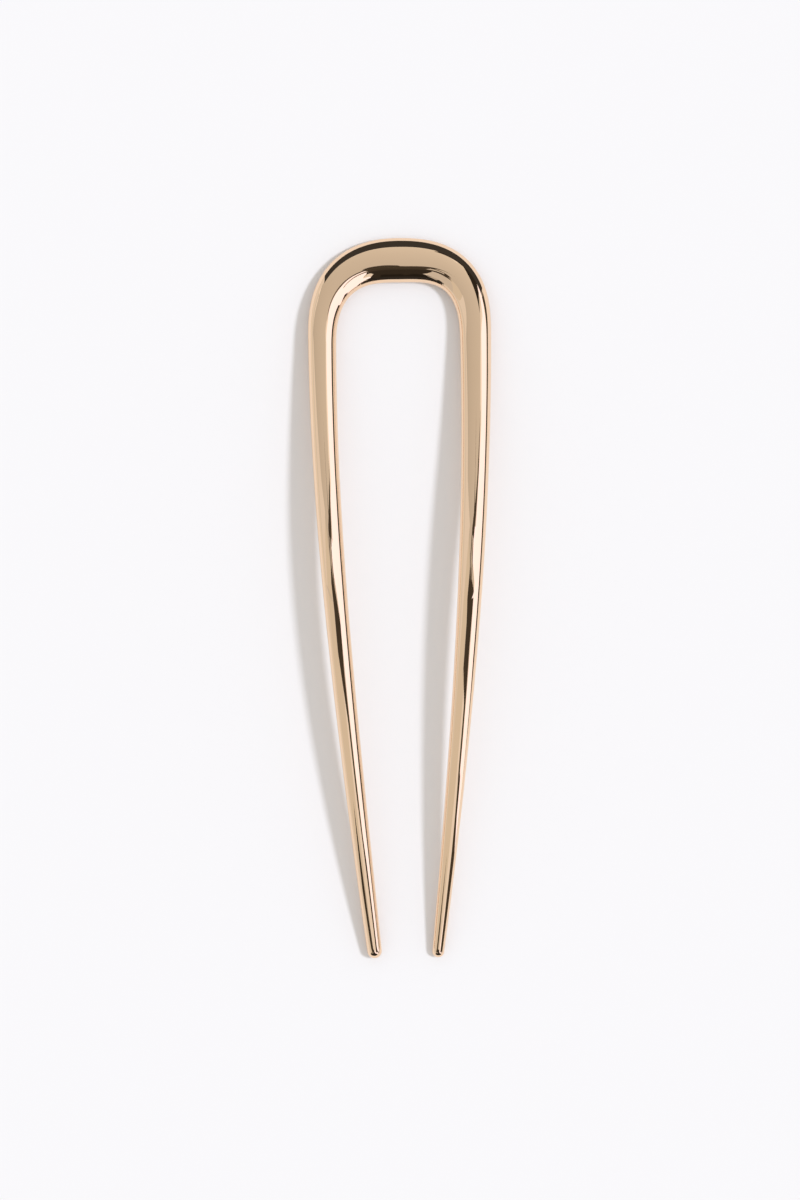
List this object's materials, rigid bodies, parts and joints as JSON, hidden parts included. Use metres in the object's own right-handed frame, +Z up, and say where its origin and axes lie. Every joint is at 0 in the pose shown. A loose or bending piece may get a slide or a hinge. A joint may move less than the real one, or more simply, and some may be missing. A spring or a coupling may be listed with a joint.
{
  "type": "hairpin",
  "caption": "U-shaped hairpin in polished gold-plated metal: a broad domed crown narrows into tapering, gently bowed prongs with rounded tips.",
  "frame": {"origin": "below the middle of the pin, on the table that it lies on: the centre of the bounding box's base", "axes": "+Y along the pin from the tips to the crown, +X across the prongs, +Z up out of the domed front face"},
  "size_m": [0.032, 0.125, 0.008],
  "materials": {
    "gold_plate": "mirror polished, thin pale gold plate over the cast metal"
  },
  "bodies": {
    "root": {"pin_body": "gold_plate"}
  },
  "joints": []
}
